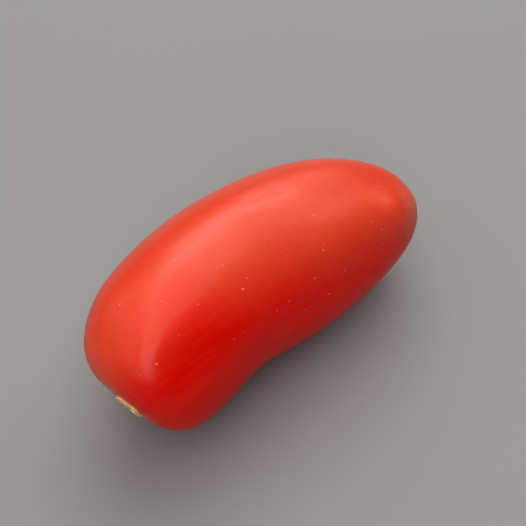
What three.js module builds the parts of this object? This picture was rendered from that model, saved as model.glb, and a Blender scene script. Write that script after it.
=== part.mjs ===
// A plum tomato lying on its side, with the torn remnant of its calyx in the stem end.
// Millimetres. X runs from the stem end to the blossom end, Z is up, and the fruit rests on Z = 0.

import * as THREE from 'three';
import { mergeVertices } from 'three/addons/utils/BufferGeometryUtils.js';

// Overall size of the fruit.
const FRUIT_LENGTH = 84;
const MIDDLE_RADIUS = 20;

// How blunt each end is: 2 is an ellipse, more is squarer.
const STEM_BLUNTNESS = 2.6;
const BLOSSOM_BLUNTNESS = 2.5;

// Change of radius from the stem end to the blossom end, as a cubic in the station from -1 to 1.
const TAPER = -0.095;
const SWELL = 0.015;
const TIP_TAPER = -0.085;

// The centre line bows towards +Y, and the stem end comes back and droops a little.
const BOW = 5.7;
const STEM_SIDE_SHIFT = -2.7;
const STEM_DROOP = -0.6;
const STEM_SHIFT_REACH = 19;

// The stem face leans: how far it moves along X for each millimetre across Y and Z.
const STEM_LEAN_Y = -0.17;
const STEM_LEAN_Z = -0.3;

// Hollows of the skin: how deep, where along the fruit from its middle, how far they reach that
// way, and where around it and how far they spread, in degrees from +Y towards +Z.
const WAIST = { depth: 3, station: -15, reach: 12.5, around: 205, spread: 50 };
const SHOULDER = { depth: 3.1, station: -34, reach: 12.5, around: 205, spread: 45 };
const FRONT_FACE = { depth: 1.5, station: -16, reach: 24, around: 134, spread: 33 };
const CHEEK = { depth: 1.05, station: -28, reach: 6, around: 142, spread: 20 };
const STEM_FLANK = { depth: 0.85, station: -29, reach: 16, around: 169, spread: 14 };
const BLOSSOM_FLANK = { depth: 0.95, station: 14, reach: 26, around: 164, spread: 23 };
const BLOSSOM_FACE = { depth: 1.6, station: 34, reach: 16, around: 110, spread: 22 };
const TOP_FURROW = { depth: 0.5, station: 19, reach: 8, around: 106, spread: 10 };
const STEM_FURROW = { depth: 1.45, station: -37, reach: 5, around: 70, spread: 30 };
const BACK_FURROW = { depth: 0.3, station: 10, reach: 23, around: 338, spread: 20 };

// Ridges and knuckles over the seed chambers, placed the same way.
const CREST = { height: 0.9, station: -1, reach: 8, around: 84, spread: 24 };
const SMALL_CREST = { height: 0.3, station: 11, reach: 6, around: 94, spread: 11 };
const LONG_RIDGE = { height: 0.35, station: -18, reach: 20, around: 65, spread: 12 };
const STEM_KNUCKLE = { height: 1.5, station: -33, reach: 6, around: 108, spread: 17 };
const STEM_LEDGE = { height: 0.55, station: -30, reach: 5, around: 47, spread: 25 };
const BLOSSOM_KNUCKLE = { height: 1.7, station: 31, reach: 5, around: 139, spread: 21 };

// Short pleats run from the stem dish over the shoulder.
const PLEAT_COUNT = 5;
const PLEAT_DEPTH = 0.014;
const PLEAT_REACH = 7;
const PLEAT_START = 48;

// The stem dish that holds the remnant, a little off the middle of the stem face.
const DISH_DEPTH = 1.2;
const DISH_RADIUS = 5;
const DISH_Y = -1.1;
const DISH_Z = 0.6;

// How far the soft fruit has settled into its resting patch.
const REST_FLAT = 0.45;

// Facets of the fruit.
const FRUIT_SIDES = 80;
const FRUIT_RINGS = 76;

// The calyx remnant: a torn collar around a sunken scar.
const COLLAR_RADIUS = 3;
const COLLAR_RAGGED = 0.09;
const COLLAR_TEETH = 6;
const COLLAR_HEIGHT = 0.7;
const COLLAR_TOOTH_RISE = 0.24;
const SCAR_HEIGHT = 0.35;
const COLLAR_RING = 0.74;
const COLLAR_RING_WIDTH = 0.26;
const COLLAR_GAP = 0.35;
const COLLAR_SIDES = 48;
const COLLAR_RINGS = 16;

const HALF_LENGTH = FRUIT_LENGTH / 2;
const HOLLOWS = [
  WAIST,
  SHOULDER,
  FRONT_FACE,
  CHEEK,
  STEM_FLANK,
  BLOSSOM_FLANK,
  BLOSSOM_FACE,
  TOP_FURROW,
  STEM_FURROW,
  BACK_FURROW,
];
const RIDGES = [CREST, SMALL_CREST, LONG_RIDGE, STEM_KNUCKLE, STEM_LEDGE, BLOSSOM_KNUCKLE];

function bell(distance, reach) {
  const ratio = distance / reach;
  return Math.exp(-ratio * ratio);
}

function turnBetween(angle, other) {
  const difference = angle - other;
  return Math.atan2(Math.sin(difference), Math.cos(difference));
}

// How much of a hollow or a ridge is felt at a place along the fruit and around it.
function shareOf(feature, x, around) {
  const turn = turnBetween(around, THREE.MathUtils.degToRad(feature.around));
  const spread = THREE.MathUtils.degToRad(feature.spread);
  return bell(x - feature.station, feature.reach) * bell(turn, spread);
}

// How far the skin stands out from the plain fruit: ridges lift it and hollows lower it.
function relief(x, around) {
  let height = 0;
  for (const ridge of RIDGES) {
    height += ridge.height * shareOf(ridge, x, around);
  }
  for (const hollow of HOLLOWS) {
    height -= hollow.depth * shareOf(hollow, x, around);
  }
  return height;
}

// Radius of the fruit at a station from -1 (stem) to 1 (blossom), before the ends round off.
function girth(station) {
  const square = station * station;
  return MIDDLE_RADIUS * (1 + TAPER * station + SWELL * square + TIP_TAPER * square * station);
}

// The place on the skin seen from the middle of the fruit in a given direction.
function skinPoint(direction) {
  const across = Math.hypot(direction.y, direction.z);
  const around = Math.atan2(direction.z, direction.y);
  const stemward = THREE.MathUtils.smoothstep(-direction.x, -1, 1);
  const bluntness = THREE.MathUtils.lerp(BLOSSOM_BLUNTNESS, STEM_BLUNTNESS, stemward);
  const size = Math.abs(direction.x) ** bluntness + across ** bluntness;
  const stretch = size ** (-1 / bluntness);
  const station = direction.x * stretch;
  const share = across * stretch;
  const x = station * HALF_LENGTH;

  // The relief fades out towards the axis so the ends stay smooth.
  const pleatTurn = PLEAT_COUNT * (around - THREE.MathUtils.degToRad(PLEAT_START));
  const pleat = PLEAT_DEPTH * Math.cos(pleatTurn) * bell(x + HALF_LENGTH, PLEAT_REACH);
  const radius = share * girth(station) * (1 + pleat) + relief(x, around) * share * share;

  const y = radius * Math.cos(around);
  const z = radius * Math.sin(around);
  const stemShare = bell(x + HALF_LENGTH, STEM_SHIFT_REACH);
  const fromDish = Math.hypot(y - DISH_Y, z - DISH_Z);
  const dish = direction.x < 0 ? DISH_DEPTH * bell(fromDish, DISH_RADIUS) : 0;
  return new THREE.Vector3(
    x + dish + (STEM_LEAN_Y * y + STEM_LEAN_Z * z) * stemShare,
    y + BOW * (1 - station * station) + STEM_SIDE_SHIFT * stemShare,
    z + STEM_DROOP * stemShare,
  );
}

// A closed ball with its poles on the X axis and one vertex at each place.
function poleBall(sides, rings) {
  const ball = new THREE.SphereGeometry(1, sides, rings);
  ball.deleteAttribute('uv');
  ball.deleteAttribute('normal');
  ball.rotateZ(Math.PI / 2);
  return mergeVertices(ball, 1e-4);
}

// Moves every vertex of a geometry to the place a rule gives for it.
function reshape(geometry, rule) {
  const places = geometry.attributes.position;
  const vertex = new THREE.Vector3();
  for (let i = 0; i < places.count; i += 1) {
    vertex.fromBufferAttribute(places, i);
    const moved = rule(vertex);
    places.setXYZ(i, moved.x, moved.y, moved.z);
  }
  geometry.computeVertexNormals();
  geometry.computeBoundingBox();
  return geometry;
}

// The whole fruit before it settles.
function fruitGeometry() {
  return reshape(poleBall(FRUIT_SIDES, FRUIT_RINGS), (vertex) => skinPoint(vertex.normalize()));
}

// Lowers a geometry, and presses flat whatever would go below the surface it lies on.
function settle(geometry, drop) {
  return reshape(geometry, (vertex) => vertex.setZ(Math.max(vertex.z - drop, 0)));
}

// Direction that reaches the skin near a given distance from the middle of the stem dish.
function stemwardDirection(distance, around) {
  const y = (DISH_Y + distance * Math.cos(around)) / girth(-1);
  const z = (DISH_Z + distance * Math.sin(around)) / girth(-1);
  return new THREE.Vector3(-Math.sqrt(1 - y * y - z * z), y, z);
}

// Outward normal of the stem face, from three places on the skin under the collar's edge.
function stemNormal() {
  const corners = [0, 1, 2].map((step) => {
    const around = (step * 2 * Math.PI) / 3;
    return skinPoint(stemwardDirection(COLLAR_RADIUS, around));
  });
  const first = corners[1].sub(corners[0]);
  const second = corners[2].sub(corners[0]);
  return second.cross(first).normalize();
}

// Height of the collar's top above the skin: a ragged ring around the sunken scar.
function collarHeight(share, around) {
  const teeth = 1 + COLLAR_TOOTH_RISE * Math.cos(COLLAR_TEETH * around + Math.sin(2 * around));
  const ring = bell(share - COLLAR_RING, COLLAR_RING_WIDTH);
  return SCAR_HEIGHT + (COLLAR_HEIGHT * teeth - SCAR_HEIGHT) * ring;
}

// The calyx remnant follows the stem dish underneath and rises to a torn rim on top.
function collarGeometry() {
  const normal = stemNormal();
  return reshape(poleBall(COLLAR_SIDES, COLLAR_RINGS), (vertex) => {
    const around = Math.atan2(vertex.z, vertex.y);
    const share = Math.min(Math.hypot(vertex.y, vertex.z), 1);
    const ragged = 1 + COLLAR_RAGGED * Math.sin(COLLAR_TEETH * around + 2 * Math.cos(around));
    const distance = COLLAR_RADIUS * ragged * share;
    const place = skinPoint(stemwardDirection(distance, around));
    const rise = Math.sqrt(Math.max(-vertex.x, 0));
    const height = COLLAR_GAP + collarHeight(share, around) * rise;
    return place.addScaledVector(normal, height);
  });
}

function fruitMesh(geometry) {
  const skin = new THREE.MeshStandardMaterial({ color: 0xc4170a, roughness: 0.32, metalness: 0 });
  const mesh = new THREE.Mesh(geometry, skin);
  mesh.name = 'fruit';
  return mesh;
}

function collarMesh(geometry) {
  const tissue = new THREE.MeshStandardMaterial({ color: 0xb9b04e, roughness: 0.75, metalness: 0 });
  const mesh = new THREE.Mesh(geometry, tissue);
  mesh.name = 'calyx_remnant';
  return mesh;
}

function buildTomato() {
  const fruit = fruitGeometry();
  const drop = fruit.boundingBox.min.z + REST_FLAT;
  const collar = collarGeometry().translate(0, 0, -drop);
  const tomato = new THREE.Group();
  tomato.name = 'plum_tomato';
  tomato.add(fruitMesh(settle(fruit, drop)));
  tomato.add(collarMesh(collar));

  // Put the origin under the middle of the whole object.
  const middle = new THREE.Box3().setFromObject(tomato).getCenter(new THREE.Vector3());
  for (const mesh of tomato.children) {
    mesh.geometry.translate(-middle.x, -middle.y, 0);
  }
  return tomato;
}

export default buildTomato();
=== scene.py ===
"""A ripe plum tomato on its side, with the torn remnant of its calyx in the stem end.

Metres. X runs from the stem end to the blossom end, Z is up, and the fruit rests on Z = 0.
"""

import math

import bmesh
import bpy
import numpy as np
from mathutils import Matrix, Vector


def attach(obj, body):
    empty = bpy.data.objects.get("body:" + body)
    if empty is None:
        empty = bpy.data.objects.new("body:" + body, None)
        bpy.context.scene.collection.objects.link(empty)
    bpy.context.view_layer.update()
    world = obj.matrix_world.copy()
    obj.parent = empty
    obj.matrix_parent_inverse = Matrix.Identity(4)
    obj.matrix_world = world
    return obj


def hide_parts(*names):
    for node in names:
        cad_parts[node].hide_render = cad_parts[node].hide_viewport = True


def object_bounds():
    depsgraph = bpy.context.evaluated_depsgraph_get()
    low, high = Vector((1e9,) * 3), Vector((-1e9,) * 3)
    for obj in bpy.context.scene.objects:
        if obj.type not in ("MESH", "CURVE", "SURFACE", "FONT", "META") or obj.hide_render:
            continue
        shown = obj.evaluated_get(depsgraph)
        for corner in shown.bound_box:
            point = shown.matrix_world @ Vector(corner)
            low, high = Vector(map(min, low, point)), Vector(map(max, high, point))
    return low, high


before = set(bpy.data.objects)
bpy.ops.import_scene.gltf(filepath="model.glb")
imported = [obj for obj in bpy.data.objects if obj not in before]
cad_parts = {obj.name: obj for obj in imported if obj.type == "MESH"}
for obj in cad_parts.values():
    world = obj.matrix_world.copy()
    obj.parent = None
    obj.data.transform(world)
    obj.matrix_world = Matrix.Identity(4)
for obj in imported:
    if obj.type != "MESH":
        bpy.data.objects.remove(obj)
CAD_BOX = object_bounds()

MM = 0.001

# The camera: where it looks, from how high and how far, and its lens on a 36 mm sensor.
AIM = Vector((3.28, 1.25, 19.0)) * MM
CAMERA_AZIMUTH = -41.05
CAMERA_ELEVATION = 50.0
CAMERA_DISTANCE = 164.7 * MM
SENSOR_WIDTH = 36.0
FIELD_OF_VIEW = 40.0
CLIP_START = 10 * MM

# The floor, which isn't part of the object.
FLOOR_HALF_WIDTH = 1.0
FLOOR_COLOUR = (0.3, 0.295, 0.29, 1.0)


# ---------------------------------------------------------------- node trees


def plug(tree, value, socket):
    """Sets a socket to a plain value, or links a wire to it."""
    if isinstance(value, Wire):
        tree.links.new(value.socket, socket)
    else:
        socket.default_value = value


class Wire:
    """One socket. Arithmetic on it adds the Math nodes that work the sum out."""

    def __init__(self, tree, socket):
        self.tree = tree
        self.socket = socket

    def math(self, operation, *terms):
        """A Math node that works on these terms."""
        node = self.tree.nodes.new("ShaderNodeMath")
        node.operation = operation
        for value, socket in zip(terms, node.inputs):
            plug(self.tree, value, socket)
        return Wire(self.tree, node.outputs[0])

    def __add__(self, other):
        return self.math("ADD", self, other)

    def __sub__(self, other):
        return self.math("SUBTRACT", self, other)

    def __rsub__(self, other):
        return self.math("SUBTRACT", other, self)

    def __mul__(self, other):
        return self.math("MULTIPLY", self, other)

    def __truediv__(self, other):
        return self.math("DIVIDE", self, other)

    def __rtruediv__(self, other):
        return self.math("DIVIDE", other, self)

    def __neg__(self):
        return self.math("MULTIPLY", self, -1.0)

    __radd__ = __add__
    __rmul__ = __mul__

    def sin(self):
        return self.math("SINE", self)

    def cos(self):
        return self.math("COSINE", self)

    def exp(self):
        return self.math("EXPONENT", self)

    def root(self):
        return self.math("SQRT", self)

    def larger(self, other):
        return self.math("MAXIMUM", self, other)

    def bearing(self, other):
        """The angle whose sine and cosine are in the ratio of self to other."""
        return self.math("ARCTAN2", self, other)

    def bell(self, reach):
        """1 where self is 0, and 0.37 at one reach from there."""
        share = self / reach
        return (-(share * share)).exp()


class Bench:
    """Where the nodes of one tree are made."""

    def __init__(self, tree):
        self.tree = tree
        tree.nodes.clear()

    def node(self, kind, settings=None, values=None, output=0):
        """Adds a node: its settings first, then the values or wires of its sockets."""
        node = self.tree.nodes.new(kind)
        for name, value in (settings or {}).items():
            setattr(node, name, value)
        for name, value in (values or {}).items():
            plug(self.tree, value, node.inputs[name])
        return Wire(self.tree, node.outputs[output]) if node.outputs else node

    def noise(self, place, size, detail=2.0, roughness=0.5, seed=0.0):
        """Smooth noise from 0 to 1 whose lumps are about one size across."""
        return self.node(
            "ShaderNodeTexNoise",
            {"noise_dimensions": "4D"},
            {
                "Vector": place,
                "W": seed,
                "Scale": 1.0 / size,
                "Detail": detail,
                "Roughness": roughness,
            },
        )

    def ramp(self, value, low, high, start=0.0, end=1.0):
        """A smooth step from start at low to end at high."""
        return self.node(
            "ShaderNodeMapRange",
            {"interpolation_type": "SMOOTHSTEP"},
            {"Value": value, "From Min": low, "From Max": high, "To Min": start, "To Max": end},
        )

    def blend(self, share, first, second):
        """A colour that goes from first to second."""
        return self.node(
            "ShaderNodeMix",
            {"data_type": "RGBA"},
            {0: share, 6: first, 7: second},
            output=2,
        )

    def chance(self, low, high, seed):
        """A random number for each point."""
        return self.node(
            "FunctionNodeRandomValue", values={2: low, 3: high, "Seed": seed}, output=1
        )

    def parts(self, vector):
        """The three numbers of a vector."""
        node = self.tree.nodes.new("ShaderNodeSeparateXYZ")
        plug(self.tree, vector, node.inputs[0])
        return [Wire(self.tree, socket) for socket in node.outputs]

    def vector(self, x, y, z):
        """A vector from three numbers."""
        return self.node("ShaderNodeCombineXYZ", values={0: x, 1: y, 2: z})

    def arrow(self, operation, first, second):
        """Vector arithmetic. A scale or a distance has its own sockets."""
        if operation == "SCALE":
            values = {"Vector": first, "Scale": second}
        else:
            values = {0: first, 1: second}
        output = "Value" if operation == "DISTANCE" else "Vector"
        return self.node("ShaderNodeVectorMath", {"operation": operation}, values, output)

    def attribute(self, name):
        """A number that a geometry tree has stored on the piece."""
        return self.node("ShaderNodeAttribute", {"attribute_name": name}, output="Fac")

    def cells(self, place, size):
        """Distance to the middle of the nearest random cell, in cells, and the cell's colour."""
        node = self.tree.nodes.new("ShaderNodeTexVoronoi")
        plug(self.tree, place, node.inputs["Vector"])
        node.inputs["Scale"].default_value = 1.0 / size
        return Wire(self.tree, node.outputs["Distance"]), Wire(self.tree, node.outputs["Color"])

    def join(self, *parts):
        """Several geometries as one."""
        node = self.tree.nodes.new("GeometryNodeJoinGeometry")
        for part in parts:
            self.tree.links.new(part.socket, node.inputs[0])
        return Wire(self.tree, node.outputs[0])


# ---------------------------------------------------------------- geometry trees


def rule(name, inputs):
    """A geometry tree with named inputs, its bench, and the wires of its inputs."""
    tree = bpy.data.node_groups.new(name, "GeometryNodeTree")
    bench = Bench(tree)
    tree.interface.new_socket("Geometry", in_out="INPUT", socket_type="NodeSocketGeometry")
    for label, kind in inputs:
        tree.interface.new_socket(label, in_out="INPUT", socket_type=kind)
    tree.interface.new_socket("Geometry", in_out="OUTPUT", socket_type="NodeSocketGeometry")
    start = tree.nodes.new("NodeGroupInput")
    wires = {s.name: Wire(tree, s) for s in start.outputs if s.name}
    return bench, wires


def close_rule(bench, geometry, material):
    """Ends a geometry tree in real mesh with its material."""
    real = bench.node("GeometryNodeRealizeInstances", values={"Geometry": geometry})
    smooth = bench.node("GeometryNodeSetShadeSmooth", values={"Geometry": real})
    coated = bench.node(
        "GeometryNodeSetMaterial", values={"Geometry": smooth, "Material": material}
    )
    bench.node("NodeGroupOutput", values={0: coated})


def grow(piece, tree, values):
    """Runs a geometry tree on a piece and leaves its result as plain mesh."""
    modifier = piece.modifiers.new(tree.name, "NODES")
    modifier.node_group = tree
    for item in tree.interface.items_tree:
        if item.in_out == "INPUT" and item.name in values:
            modifier[item.identifier] = values[item.name]
    evaluated = piece.evaluated_get(bpy.context.evaluated_depsgraph_get())
    mesh = bpy.data.meshes.new_from_object(evaluated)
    piece.modifiers.clear()
    piece.data = mesh
    return piece


def new_piece(name, mesh):
    """An object at the origin that shows a mesh."""
    piece = bpy.data.objects.new(name, mesh)
    bpy.context.scene.collection.objects.link(piece)
    return piece


def keep(bench, geometry, name, value):
    """Stores one number per point under a name that the materials can read."""
    return bench.node(
        "GeometryNodeStoreNamedAttribute",
        {"data_type": "FLOAT", "domain": "POINT"},
        {"Geometry": geometry, "Name": name, "Value": value},
    )


# ---------------------------------------------------------------- the fruit

SEED = 7

# The skin: how finely it is rounded, how far it waves and how long the waves are, and which way
# round the fruit faces the sun side, in degrees from +Y towards +Z. That side is coloured a
# warmer, paler red. This is partly ripening and partly painted light, since it is the side the
# light falls on.
SKIN = {
    "Smoothness": 1,
    "Unevenness": 0.1 * MM,
    "Unevenness size": 9 * MM,
    "Sun and lit side": math.radians(70),
    "Seed": float(SEED),
}

# The unevenness fades out from here down to the floor, so the flat spot stays flat.
FLAT_BELOW = 0.3 * MM
UNEVEN_ABOVE = 5 * MM

# Small knobs and dimples of the skin: where they are, how wide and how high, all in mm.
KNOBS = {
    "shoulder knob": {"place": (-34.5, -11.4, 35.3), "reach": 2.2, "height": 0.13},
    "far shoulder knob": {"place": (-35.1, 4.3, 34.0), "reach": 4.0, "height": 0.25},
    "shoulder dimple": {"place": (-37.4, -3.8, 34.6), "reach": 3.5, "height": -0.15},
    "crest knob": {"place": (-0.7, 0.9, 40.2), "reach": 3.4, "height": 0.15},
    "small crest knob": {"place": (10.5, 0.8, 39.0), "reach": 2.4, "height": 0.1},
    "crest nick": {"place": (9.9, 0.9, 39.1), "reach": 0.6, "height": -0.06},
    "blossom knob": {"place": (31.3, -12.2, 30.6), "reach": 3.0, "height": 0.18},
}

# How many cuts across a solid find its centre line.
CENTRE_CUTS = 13

# How close two corners of a CAD solid are to be one, and how flat and how square two of its
# triangles are together to be paired.
SAME_CORNER = 0.001 * MM
PAIR_BEND = math.radians(30)
PAIR_SKEW = math.radians(60)


def merged_copy(node, name):
    """A copy of a CAD solid with its corners joined and its triangles paired."""
    build = bmesh.new()
    build.from_mesh(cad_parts[node].data)
    bmesh.ops.remove_doubles(build, verts=build.verts, dist=SAME_CORNER)
    bmesh.ops.join_triangles(
        build,
        faces=build.faces,
        angle_face_threshold=PAIR_BEND,
        angle_shape_threshold=PAIR_SKEW,
    )
    mesh = bpy.data.meshes.new(name)
    build.to_mesh(mesh)
    build.free()
    return mesh


def corners_of(node):
    """Every corner of a CAD solid, one row each."""
    return np.array([v.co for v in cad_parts[node].data.vertices])


def centre_line(node):
    """The middle of a long solid at each place along X, as two quadratics, for Y and for Z."""
    places = corners_of(node)
    edges = np.linspace(places[:, 0].min(), places[:, 0].max(), CENTRE_CUTS)[1:-1]
    middles = []
    for low, high in zip(edges[:-1], edges[1:]):
        band = places[(places[:, 0] >= low) & (places[:, 0] < high)]
        middle = (band.min(0) + band.max(0)) / 2
        middles.append(((low + high) / 2, middle[1], middle[2]))
    along, across, up = np.array(middles).T
    return np.polyfit(along, across, 2), np.polyfit(along, up, 2)


def quadratic(factors, x):
    """A quadratic of a wire, from its three factors."""
    square, slope, level = (float(f) for f in factors)
    return (x * square + slope) * x + level


def skin_rule(material):
    """The skin: the CAD solid made smooth, with a slight unevenness away from the floor."""
    bench, given = rule(
        "skin_rule",
        [
            ("Smoothness", "NodeSocketInt"),
            ("Unevenness", "NodeSocketFloat"),
            ("Unevenness size", "NodeSocketFloat"),
            ("Sun and lit side", "NodeSocketFloat"),
            ("Seed", "NodeSocketFloat"),
        ],
    )
    smooth = bench.node(
        "GeometryNodeSubdivisionSurface",
        values={"Mesh": given["Geometry"], "Level": given["Smoothness"]},
    )
    place = bench.node("GeometryNodeInputPosition")
    x, y, z = bench.parts(place)
    middle_y, middle_z = centre_line("fruit")
    around = (z - quadratic(middle_z, x)).bearing(y - quadratic(middle_y, x))

    lumps = bench.noise(place, given["Unevenness size"], detail=1.0, seed=given["Seed"])
    height = (lumps - 0.5) * 2.0 * given["Unevenness"]
    for knob in KNOBS.values():
        distance = bench.arrow("DISTANCE", place, tuple(Vector(knob["place"]) * MM))
        height = height + distance.bell(knob["reach"] * MM) * (knob["height"] * MM)
    height = height * bench.ramp(z, FLAT_BELOW, UNEVEN_ABOVE)
    normal = bench.node("GeometryNodeInputNormal")
    uneven = bench.node(
        "GeometryNodeSetPosition",
        values={"Geometry": smooth, "Offset": bench.arrow("SCALE", normal, height)},
    )
    # How far the skin faces the sun side. The skin colour turns this side warmer and paler, partly
    # as ripening and partly as painted light on the lit side.
    sun_and_lit_side = (around - given["Sun and lit side"]).cos()
    close_rule(bench, keep(bench, uneven, "sun_and_lit_side", sun_and_lit_side), material)
    return bench.tree


def make_fruit(material):
    """The whole fruit, from its CAD solid."""
    fruit = new_piece("ripe_fruit", merged_copy("fruit", "ripe_fruit"))
    grow(fruit, skin_rule(material), SKIN)
    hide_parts("fruit")
    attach(fruit, "root")


# ---------------------------------------------------------------- the calyx remnant

# The remnant in its own frame, with Z out of the stem end: a corky scar, and a ring of torn lobes
# that lean outwards.
REMNANT = {
    "Smoothness": 2,
    "Lobes": 11,
    "Ring radius": 2.5 * MM,
    "Lobe width": 1.7 * MM,
    "Lobe thickness": 0.4 * MM,
    "Lobe height": 1.4 * MM,
    "Lean": math.radians(70),
    "Raggedness": 0.4 * MM,
    "Grain": 0.1 * MM,
    "Wear": 0.9 * MM,
    "Underside": 0.33 * MM,
    "Seed": 4,
}
SCAR_RADIUS = 3 * MM

# How high the ring of lobes sits above the underside of the scar.
LOBE_SEAT = 0.5 * MM

# Every lobe has its own lean, twist in radians, width and height, within these shares.
LEAN_RANGE = (0.5, 1.35)
TWIST_RANGE = (-0.5, 0.5)
WIDTH_RANGE = (0.6, 1.3)
HEIGHT_RANGE = (0.55, 1.2)

# The grain of the scar: fibres that run out from its middle, pits, and wear of its rim. The last
# is the size of the tears in the lobes.
FIBRES = 23
FIBRE_SWAY = 9.0
FIBRE_SWAY_SIZE = 0.7 * MM
PIT_SIZE = 0.5 * MM
PIT_SHARE = 3.0
WEAR_SIZE = 1.2 * MM
WEAR_LEVEL = 0.64
TEAR_SIZE = 0.8 * MM


def stem_frame():
    """Where the remnant sits and which way it faces, from the CAD solid that it follows."""
    places = corners_of("calyx_remnant")
    middle = places.mean(0)
    _, axes = np.linalg.eigh(np.cov((places - middle).T))
    out = Vector(axes[:, 0])
    out = -out if out.x > 0 else out
    up = (Vector((0, 0, 1)) - out * out.z).normalized()
    side = up.cross(out)
    turn = Matrix((side, up, out)).transposed().to_4x4()
    return Matrix.Translation(Vector(middle)) @ turn


def torn_lobes(bench, given, base_level):
    """A ring of flat torn lobes, each of its own size and lean."""
    ball = bench.node(
        "GeometryNodeMeshUVSphere", values={"Segments": 20, "Rings": 14, "Radius": 1.0}
    )
    place = bench.node("GeometryNodeInputPosition")
    ball = keep(bench, ball, "tip", bench.parts(place)[2] * 0.5 + 0.5)
    ring = bench.node(
        "GeometryNodeMeshCircle",
        values={"Vertices": given["Lobes"], "Radius": given["Ring radius"]},
    )

    x, y, _ = bench.parts(place)
    facing = y.bearing(x) - math.pi / 2
    lean = given["Lean"] * bench.chance(*LEAN_RANGE, given["Seed"])
    twist = bench.chance(*TWIST_RANGE, given["Seed"] + 1)
    turn = bench.node(
        "FunctionNodeEulerToRotation",
        values={"Euler": bench.vector(-lean, 0.0, facing + twist)},
    )
    size = bench.vector(
        given["Lobe width"] * 0.5 * bench.chance(*WIDTH_RANGE, given["Seed"] + 2),
        given["Lobe thickness"] * 0.5,
        given["Lobe height"] * 0.5 * bench.chance(*HEIGHT_RANGE, given["Seed"] + 3),
    )
    placed = bench.node(
        "GeometryNodeInstanceOnPoints",
        values={"Points": ring, "Instance": ball, "Rotation": turn, "Scale": size},
    )
    lifted = bench.node(
        "GeometryNodeTranslateInstances",
        values={"Instances": placed, "Translation": (0.0, 0.0, base_level)},
    )
    real = bench.node("GeometryNodeRealizeInstances", values={"Geometry": lifted})
    torn = bench.node(
        "ShaderNodeTexNoise", values={"Vector": place, "Scale": 1.0 / TEAR_SIZE}, output="Color"
    )
    torn = bench.arrow("SUBTRACT", torn, (0.5, 0.5, 0.5))
    ragged = bench.node(
        "GeometryNodeSetPosition",
        values={"Geometry": real, "Offset": bench.arrow("SCALE", torn, given["Raggedness"] * 2.0)},
    )
    return keep(bench, ragged, "lobe", 1.0)


def remnant_rule(material, base_level):
    """The corky scar from the CAD collar, grained like torn fibre, with the lobes round it."""
    bench, given = rule(
        "remnant_rule",
        [
            ("Smoothness", "NodeSocketInt"),
            ("Lobes", "NodeSocketInt"),
            ("Ring radius", "NodeSocketFloat"),
            ("Lobe width", "NodeSocketFloat"),
            ("Lobe thickness", "NodeSocketFloat"),
            ("Lobe height", "NodeSocketFloat"),
            ("Lean", "NodeSocketFloat"),
            ("Raggedness", "NodeSocketFloat"),
            ("Grain", "NodeSocketFloat"),
            ("Wear", "NodeSocketFloat"),
            ("Underside", "NodeSocketFloat"),
            ("Seed", "NodeSocketInt"),
        ],
    )
    smooth = bench.node(
        "GeometryNodeSubdivisionSurface",
        values={"Mesh": given["Geometry"], "Level": given["Smoothness"]},
    )
    place = bench.node("GeometryNodeInputPosition")
    x, y, z = bench.parts(place)
    normal = bench.node("GeometryNodeInputNormal")
    outward = bench.parts(normal)[2]
    fibre = (y.bearing(x) * FIBRES + bench.noise(place, FIBRE_SWAY_SIZE) * FIBRE_SWAY).sin()
    pits = bench.noise(place, PIT_SIZE, detail=3.0) - 0.5
    worn = bench.noise(place, WEAR_SIZE, detail=2.0, seed=SEED) - WEAR_LEVEL
    height = given["Grain"] * (fibre * 0.5 + pits * PIT_SHARE) + given["Wear"] * worn
    height = height * bench.ramp(outward, -0.2, 0.4)
    height = height + given["Underside"] * bench.ramp(outward, -0.6, -0.1, 1.0, 0.0)
    grained = bench.node(
        "GeometryNodeSetPosition",
        values={"Geometry": smooth, "Offset": bench.arrow("SCALE", normal, height)},
    )
    span = (x * x + y * y).root() / SCAR_RADIUS
    whole = bench.join(
        keep(bench, grained, "tip", 0.5), torn_lobes(bench, given, base_level)
    )
    whole = keep(bench, whole, "span", span)
    rise = (z - base_level) / given["Lobe height"]
    close_rule(bench, keep(bench, whole, "rise", rise), material)
    return bench.tree


def make_remnant(material):
    """The calyx remnant, grown in its own frame and set back in its place."""
    seat = stem_frame()
    mesh = merged_copy("calyx_remnant", "torn_calyx")
    mesh.transform(seat.inverted())
    base_level = min(v.co.z for v in mesh.vertices) + LOBE_SEAT
    remnant = new_piece("torn_calyx", mesh)
    grow(remnant, remnant_rule(material, base_level), REMNANT)
    remnant.data.transform(seat)
    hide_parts("calyx_remnant")
    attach(remnant, "root")


# ---------------------------------------------------------------- materials

# Ripe red, from deep red at the stem end and on the side away from the light, to orange red at the
# blossom end and on the side facing the light. Along the fruit this is ripening. Round it, it is
# partly ripening and partly painted light and shade.
DEEP_RED = (0.72, 0.006, 0.001, 1)
ORANGE_RED = (0.72, 0.097, 0.05, 1)
SHADED_RED = (0.5, 0.006, 0.002, 1)
GOLD = (0.8, 0.26, 0.06, 1)
FLECK = (0.95, 0.5, 0.36, 1)
GREEN_GOLD = (0.62, 0.34, 0.05, 1)
SCAR_BROWN = (0.09, 0.045, 0.02, 1)
SCAR_RIM = (0.42, 0.2, 0.07, 1)

CORK = (0.3, 0.2, 0.08, 1)
CORK_DARK = (0.1, 0.075, 0.025, 1)
STALK_GREEN = (0.12, 0.15, 0.04, 1)
MOSS_GREEN = (0.3, 0.34, 0.1, 1)
YELLOW_GREEN = (0.62, 0.62, 0.24, 1)
TORN_CREAM = (0.86, 0.7, 0.4, 1)
TORN_SALMON = (0.82, 0.38, 0.24, 1)

# How the red ripens: the tones where it is still deep and where it is fully warm, how much warmer
# the blossom end is than the middle, the cloudiness, and a redder band behind the stem shoulder.
# The warmer, paler tone on the side facing the light is partly painted light.
DEEP_TONE = -0.1
WARM_TONE = 0.72
BLOSSOM_WARMTH = 0.38
CLOUD_SIZE = 15 * MM
CLOUDINESS = 0.25
BAND_PLACE = -24 * MM
BAND_REACH = 9 * MM
BAND_DEPTH = 0.2

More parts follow.
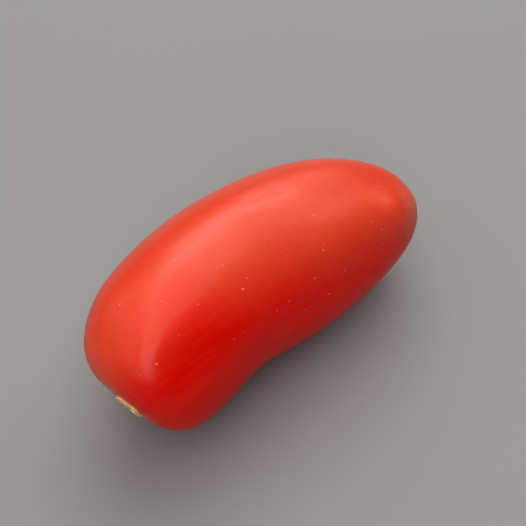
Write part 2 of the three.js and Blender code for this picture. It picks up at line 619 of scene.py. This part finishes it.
# Patterns of the skin: the size of their lumps, where they start and end, and how much they show.
MOTTLE_SIZE = 3.2 * MM
MOTTLE_SPAN = (0.2, 0.95)
MOTTLE_SHARE = 0.12
STREAK_SIZE = 1.1 * MM
STREAK_SQUEEZE = 0.09
STREAK_SPAN = (0.35, 0.9)
STREAK_SHARE = 0.1
FLECK_CELL = 1.4 * MM
FLECK_LENGTHENING = (0.4, 1.0, 1.0)
FLECK_TURNS = ((0.3, 0.4, 0.2), (0.9, -0.5, 1.7))
FLECK_SHIFTS = ((0.0, 0.0, 0.0), (0.05, 0.02, 0.01))
FLECK_EDGE = 0.045
FLECK_PICK = (0.86, 0.88)
FLECK_CROWD = 0.3
CROWD_SPAN = (-35 * MM, 15 * MM)
FLECK_SHARE = 0.75

# The yellower ring round the stem, and the scar at the blossom end with its rim.
SHOULDER_SPAN = (3.2 * MM, 7 * MM)
SHOULDER_WANDER = 3 * MM
SHOULDER_SHARE = 0.55
RIM_SPAN = (0.9 * MM, 2.4 * MM)
RIM_SHARE = 0.6
SCAR_SPAN = (0.7 * MM, 1.1 * MM)
SCAR_WANDER = 1.2 * MM

# The gloss of the skin, and the heights of its finest relief.
SKIN_ROUGHNESS = 0.3
WAX_SIZE = 8 * MM
WAX_SHARE = 0.06
FLECK_ROUGHNESS = 0.15
SCAR_ROUGHNESS = 0.4
PORE_SIZE = 0.8 * MM
PORE_HEIGHT = 0.003 * MM
WAVE_SIZE = 3.4 * MM
WAVE_HEIGHT = 0.015 * MM
FLECK_HEIGHT = 0.03 * MM
STREAK_HEIGHT = 0.004 * MM
SCAR_DEPTH = 0.12 * MM

# The grain and the patches of the torn tissue.
GRAIN_SIZE = 0.45 * MM
GRAIN_HEIGHT = 0.06 * MM
PATCH_SIZE = 1.3 * MM
PATCH_HEIGHT = 0.08 * MM


def new_material(name):
    """A material and the bench of its node tree."""
    material = bpy.data.materials.new(name)
    material.use_nodes = True
    return material, Bench(material.node_tree)


def finish_material(bench, settings, values):
    """Ends a material in one shader with these sockets."""
    shader = bench.node("ShaderNodeBsdfPrincipled", settings, values)
    bench.node("ShaderNodeOutputMaterial", values={"Surface": shader})


def bumped(bench, relief):
    """A normal from a height in metres."""
    return bench.node("ShaderNodeBump", values={"Distance": 1.0, "Height": relief})


def ripening_and_lit_side(bench, place):
    """0 where the skin is deep red and 1 where it is orange red. The sun side counts towards
    orange red, partly as ripening and partly as painted light on the side the light falls on.
    """
    half_length = (CAD_BOX[1][0] - CAD_BOX[0][0]) / 2
    x = bench.parts(place)[0]
    tone = bench.attribute("sun_and_lit_side") + x * (BLOSSOM_WARMTH / half_length)
    tone = tone - (x - BAND_PLACE).bell(BAND_REACH) * BAND_DEPTH
    clouds = bench.noise(place, CLOUD_SIZE, detail=3.0, seed=SEED) - 0.5
    return bench.ramp(tone + clouds * CLOUDINESS, DEEP_TONE, WARM_TONE)


def flecks(bench, place, turn, shift):
    """Tiny pale dashes that all lie one way, more of them towards the blossom end."""
    turned = bench.node(
        "ShaderNodeMapping",
        values={
            "Vector": place,
            "Rotation": turn,
            "Scale": FLECK_LENGTHENING,
            "Location": shift,
        },
    )
    distance, colour = bench.cells(turned, FLECK_CELL)
    pick, size, shade = bench.parts(colour)
    crowd = bench.ramp(bench.parts(place)[0], *CROWD_SPAN) * FLECK_CROWD
    present = bench.ramp(pick + crowd, *FLECK_PICK)
    reach = size * 0.05 + 0.025
    mark = bench.ramp(distance, reach, reach + FLECK_EDGE, 1.0, 0.0)
    return mark * present * (shade * 0.6 + 0.4)


def all_flecks(bench, place):
    """The dashes of both directions together."""
    first, second = [
        flecks(bench, place, turn, shift) for turn, shift in zip(FLECK_TURNS, FLECK_SHIFTS)
    ]
    return first.larger(second)


def shoulder_ring(bench, place, mottle):
    """1 close round the stem, where the skin stays yellower."""
    stem_middle = tuple(corners_of("calyx_remnant").mean(0))
    from_stem = bench.arrow("DISTANCE", place, stem_middle)
    wander = (mottle - 0.5) * SHOULDER_WANDER
    return bench.ramp(from_stem + wander, *SHOULDER_SPAN, 1.0, 0.0)


def blossom_scar(bench, place, mottle):
    """1 in the rim round the blossom scar, and 1 in the scar itself."""
    skin_corners = corners_of("fruit")
    blossom_tip = tuple(skin_corners[skin_corners[:, 0].argmax()])
    from_tip = bench.arrow("DISTANCE", place, blossom_tip) + (mottle - 0.5) * SCAR_WANDER
    rim = bench.ramp(from_tip, *RIM_SPAN, 1.0, 0.0)
    scar = bench.ramp(from_tip, *SCAR_SPAN, 1.0, 0.0)
    return rim, scar


def ripe_skin():
    """Glossy ripe skin: clouded red, faintly streaked, with pale flecks and a blossom scar."""
    material, bench = new_material("ripe_skin")
    place = bench.node("ShaderNodeTexCoord", output="Object")
    x, y, z = bench.parts(place)

    mottle = bench.noise(place, MOTTLE_SIZE, detail=4.0, roughness=0.6, seed=SEED + 1)
    lengthways = bench.vector(x * STREAK_SQUEEZE, y, z)
    streak = bench.noise(lengthways, STREAK_SIZE, detail=3.0, roughness=0.65, seed=SEED + 2)
    fleck = all_flecks(bench, place)
    shoulder = shoulder_ring(bench, place, mottle)
    rim, scar = blossom_scar(bench, place, mottle)

    # Deep red to orange red, with the lit side warmer and paler: partly ripening, partly painted
    # light.
    colour = bench.blend(ripening_and_lit_side(bench, place), DEEP_RED, ORANGE_RED)
    colour = bench.blend(bench.ramp(mottle, *MOTTLE_SPAN) * MOTTLE_SHARE, colour, SHADED_RED)
    colour = bench.blend(bench.ramp(streak, *STREAK_SPAN) * STREAK_SHARE, colour, GOLD)
    colour = bench.blend(fleck * FLECK_SHARE, colour, FLECK)
    colour = bench.blend(shoulder * SHOULDER_SHARE, colour, GREEN_GOLD)
    colour = bench.blend(rim * RIM_SHARE, colour, SCAR_RIM)
    colour = bench.blend(scar, colour, SCAR_BROWN)

    wax = bench.noise(place, WAX_SIZE, detail=3.0, seed=SEED + 3)
    roughness = (wax - 0.5) * WAX_SHARE + SKIN_ROUGHNESS
    roughness = roughness + fleck * FLECK_ROUGHNESS + scar * SCAR_ROUGHNESS

    pores = bench.noise(place, PORE_SIZE, detail=3.0, seed=SEED + 4)
    waves = bench.noise(place, WAVE_SIZE, detail=1.0, seed=SEED + 5)
    relief = pores * PORE_HEIGHT + waves * WAVE_HEIGHT + fleck * FLECK_HEIGHT
    relief = relief - scar * SCAR_DEPTH + streak * STREAK_HEIGHT
    finish_material(
        bench,
        {"subsurface_method": "RANDOM_WALK"},
        {
            "Base Color": colour,
            "Roughness": roughness,
            "Normal": bumped(bench, relief),
            "IOR": 1.45,
            "Subsurface Weight": 0.15,
            "Subsurface Radius": (1.0, 0.25, 0.1),
            "Subsurface Scale": 2 * MM,
        },
    )
    return material


def torn_tissue():
    """Dry torn calyx: a corky middle, yellow-green rim and lobes, cream where it is torn."""
    material, bench = new_material("torn_tissue")
    place = bench.node("ShaderNodeTexCoord", output="Object")
    grain = bench.noise(place, GRAIN_SIZE, detail=4.0, roughness=0.65, seed=SEED)
    patch = bench.noise(place, PATCH_SIZE, detail=2.0, seed=SEED + 1)
    torn = bench.blend(bench.ramp(grain, 0.4, 0.62), TORN_SALMON, TORN_CREAM)

    cork = bench.blend(bench.ramp(grain, 0.35, 0.65), CORK_DARK, CORK)
    rim = bench.ramp(bench.attribute("span") + (patch - 0.5) * 0.5, 0.35, 0.75)
    rim_green = bench.blend(bench.ramp(patch, 0.4, 0.66), MOSS_GREEN, YELLOW_GREEN)
    scar = bench.blend(rim * 0.9, cork, rim_green)
    low = bench.ramp(bench.attribute("rise") + (patch - 0.5) * 2.0, -0.12, 0.2, 1.0, 0.0)
    scar = bench.blend(low * rim, scar, torn)

    leaf = bench.blend(bench.ramp(patch, 0.36, 0.62), STALK_GREEN, YELLOW_GREEN)
    edge = bench.ramp(bench.attribute("tip") + (patch - 0.5) * 0.9, 0.35, 0.6)
    leaf = bench.blend(edge, leaf, torn)
    finish_material(
        bench,
        {"subsurface_method": "RANDOM_WALK"},
        {
            "Base Color": bench.blend(bench.attribute("lobe"), scar, leaf),
            "Roughness": grain * 0.3 + 0.5,
            "Normal": bumped(bench, grain * GRAIN_HEIGHT + patch * PATCH_HEIGHT),
            "Subsurface Weight": 0.15,
            "Subsurface Radius": (1.0, 0.8, 0.3),
            "Subsurface Scale": 0.4 * MM,
        },
    )
    return material


def plain_floor():
    """The matt grey of the floor."""
    material, bench = new_material("plain_floor")
    finish_material(bench, {}, {"Base Color": FLOOR_COLOUR, "Roughness": 0.9})
    return material


# ---------------------------------------------------------------- the studio


def make_camera():
    """The camera, turned round the fruit and looking down at it."""
    azimuth = math.radians(CAMERA_AZIMUTH)
    elevation = math.radians(CAMERA_ELEVATION)
    back = Vector(
        (
            math.sin(azimuth) * math.cos(elevation),
            -math.cos(azimuth) * math.cos(elevation),
            math.sin(elevation),
        )
    )
    data = bpy.data.cameras.new("camera")
    data.sensor_width = SENSOR_WIDTH
    data.lens = SENSOR_WIDTH / 2 / math.tan(math.radians(FIELD_OF_VIEW) / 2)
    data.clip_start = CLIP_START
    camera = bpy.data.objects.new("camera", data)
    camera.location = AIM + back * CAMERA_DISTANCE
    camera.rotation_mode = "QUATERNION"
    camera.rotation_quaternion = (-back).to_track_quat("-Z", "Y")
    bpy.context.scene.collection.objects.link(camera)
    bpy.context.scene.camera = camera


def make_floor():
    """A plain square floor under the fruit."""
    corners = [(-1, -1), (1, -1), (1, 1), (-1, 1)]
    mesh = bpy.data.meshes.new("floor")
    places = [(a * FLOOR_HALF_WIDTH, b * FLOOR_HALF_WIDTH, 0) for a, b in corners]
    mesh.from_pydata(places, [], [(0, 1, 2, 3)])
    mesh.materials.append(plain_floor())
    floor = new_piece("floor", mesh)


# The room gives almost no light, but the camera sees a plain pale background in it.
ROOM_LIGHT = 0.01
BACKGROUND_LIGHT = 0.3
ROOM_COLOUR = (0.95, 0.97, 1.0, 1.0)

# The glowing panels of the ceiling, laid out as the camera looks at the fruit: the near, far, left
# and right edges of each in panel heights, and how brightly it glows.
PANEL_HEIGHT = 1.0
PANELS = {
    "left": (-4.0, 1.1, -2.4, -0.5, 0.5),
    "front": (-4.0, -0.3, -0.5, 0.5, 1.8),
    "middle": (-0.3, 0.5, -0.5, 0.5, 1.2),
    "window": (0.5, 1.1, -0.5, 0.5, 3.0),
    "beyond": (1.1, 3.6, -0.5, 0.5, 1.3),
    "right": (0.1, 1.1, 0.5, 1.2, 1.3),
    "beyond_right": (1.1, 3.6, 0.5, 1.2, 0.6),
}


def make_panel(name, near, far, left, right, radiance):
    """A flat glowing panel that hangs over the fruit and faces down."""
    turn = Matrix.Rotation(math.radians(CAMERA_AZIMUTH), 4, "Z")
    data = bpy.data.lights.new(name, "AREA")
    data.shape = "RECTANGLE"
    data.size = (right - left) * PANEL_HEIGHT
    data.size_y = (far - near) * PANEL_HEIGHT
    data.energy = radiance * math.pi * data.size * data.size_y
    lamp = bpy.data.objects.new(name, data)
    middle = Vector(((left + right) / 2, (near + far) / 2, 1.0)) * PANEL_HEIGHT
    lamp.matrix_world = Matrix.Translation(turn @ middle) @ turn
    bpy.context.scene.collection.objects.link(lamp)


def light_studio():
    """A nearly dark room that looks pale to the camera, and the glowing panels overhead."""
    world = bpy.data.worlds.new("studio")
    world.use_nodes = True
    bench = Bench(world.node_tree)
    seen = bench.node("ShaderNodeLightPath", output="Is Camera Ray")
    strength = bench.ramp(seen, 0.0, 1.0, ROOM_LIGHT, BACKGROUND_LIGHT)
    room = bench.node("ShaderNodeBackground", values={"Color": ROOM_COLOUR, "Strength": strength})
    bench.node("ShaderNodeOutputWorld", values={"Surface": room})
    bpy.context.scene.world = world
    for name, panel in PANELS.items():
        make_panel(name, *panel)


def main():
    """Builds the whole scene."""
    bpy.context.scene.view_settings.view_transform = "Standard"
    bpy.context.scene.view_settings.look = "High Contrast"
    make_camera()
    make_floor()
    light_studio()
    make_fruit(ripe_skin())
    make_remnant(torn_tissue())


main()
